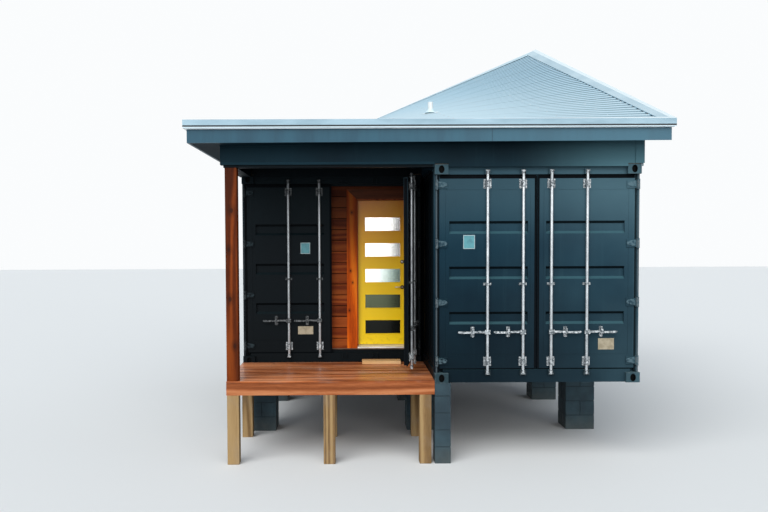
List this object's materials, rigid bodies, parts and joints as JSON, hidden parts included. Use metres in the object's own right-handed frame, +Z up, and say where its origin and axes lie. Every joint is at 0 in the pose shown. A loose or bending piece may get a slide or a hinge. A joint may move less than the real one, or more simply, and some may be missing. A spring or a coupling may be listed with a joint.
{
  "type": "shipping container cabin",
  "caption": "Small cabin of steel shipping containers on block piers, with a covered deck, a panel door with glass lites and a warped ribbed metal shed roof.",
  "frame": {"origin": "on the level ground under the middle of the roof's plan", "axes": "+X to the right, +Y from the front of the cabin to its back, along its longest extent, +Z up"},
  "size_m": [5.58, 6.71, 6.42],
  "materials": {
    "painted_block": "painted concrete block, matt dark teal",
    "container_steel": "satin dark teal paint on pressed steel",
    "galvanised": "dull galvanised steel",
    "inner_lining": "plain birch plywood lining",
    "floor_board": "sealed plywood floor",
    "cedar": "oiled cedar boards",
    "door_paint": "satin yellow paint on wood",
    "frosted_glass": "frosted glass",
    "dark_bronze": "oil-rubbed dark bronze",
    "threshold_metal": "mill aluminium",
    "deck_stain": "red-brown stained boards",
    "framing_timber": "sawn framing timber",
    "post_stain": "red-brown stained post",
    "dark_cladding": "dark teal painted boards",
    "fascia_paint": "blue-grey painted fascia metal",
    "roof_metal": "pale blue-grey coated sheet",
    "pipe_plastic": "pale plastic pipe with rubber boot"
  },
  "bodies": {
    "building": {"block_piers": "painted_block", "corner_castings": "container_steel", "corner_posts": "container_steel", "side_rails": "container_steel", "end_rails": "container_steel", "cross_members": "container_steel", "left_container_floor": "floor_board", "right_container_floor": "floor_board", "left_container_ceiling": "inner_lining", "right_container_ceiling": "inner_lining", "left_container_left_wall": "container_steel", "left_container_right_wall": "container_steel", "left_container_rear_wall": "container_steel", "right_container_left_wall": "container_steel", "right_container_right_wall": "container_steel", "right_container_rear_wall": "container_steel", "hinge_pins": "container_steel", "door_hinge_pins": "dark_bronze", "entrance_wall": "cedar", "wall_over_door": "cedar", "door_casing": "cedar", "door_frame": "cedar", "threshold": "threshold_metal", "deck_boards": "deck_stain", "deck_frame": "deck_stain", "deck_legs": "framing_timber", "doorstep": "framing_timber", "porch_post": "post_stain", "porch_beams": "dark_cladding", "upper_walls": "framing_timber", "upper_cladding": "dark_cladding", "rafters": "framing_timber", "soffits": "dark_cladding", "fascia_boards": "fascia_paint", "roof_sheets": "roof_metal", "edge_trim": "roof_metal", "rake_caps": "roof_metal", "vent_pipe": "pipe_plastic"},
    "entry_door": {"entry_door": "door_paint", "door_glass": "frosted_glass", "door_hardware": "dark_bronze"},
    "left_container_left_leaf": {"left_container_left_leaf": "container_steel", "left_container_left_lock_gear": "galvanised"},
    "left_container_right_leaf": {"left_container_right_leaf": "container_steel", "left_container_right_lock_gear": "galvanised"},
    "right_container_left_leaf": {"right_container_left_leaf": "container_steel", "right_container_left_lock_gear": "galvanised"},
    "right_container_right_leaf": {"right_container_right_leaf": "container_steel", "right_container_right_lock_gear": "galvanised"}
  },
  "joints": [
    {"name": "entry_door_hinge", "type": "hinge", "parent": "building", "child": "entry_door", "pos_m": [-0.798, -1.257, 1.462], "axis": [0, 0, 1], "range_deg": [0, 95]},
    {"name": "left_container_left_leaf_hinge", "type": "hinge", "parent": "building", "child": "left_container_left_leaf", "pos_m": [-2.35, -1.555, 1.462], "axis": [0, 0, -1], "range_deg": [0, 250]},
    {"name": "left_container_right_leaf_hinge", "type": "hinge", "parent": "building", "child": "left_container_right_leaf", "pos_m": [0.036, -1.555, 1.462], "axis": [0, 0, 1], "range_deg": [-80, 8]},
    {"name": "right_container_left_leaf_hinge", "type": "hinge", "parent": "building", "child": "right_container_left_leaf", "pos_m": [0.118, -2.985, 1.462], "axis": [0, 0, -1], "range_deg": [0, 180]},
    {"name": "right_container_right_leaf_hinge", "type": "hinge", "parent": "building", "child": "right_container_right_leaf", "pos_m": [2.504, -2.985, 1.462], "axis": [0, 0, 1], "range_deg": [0, 250]}
  ]
}
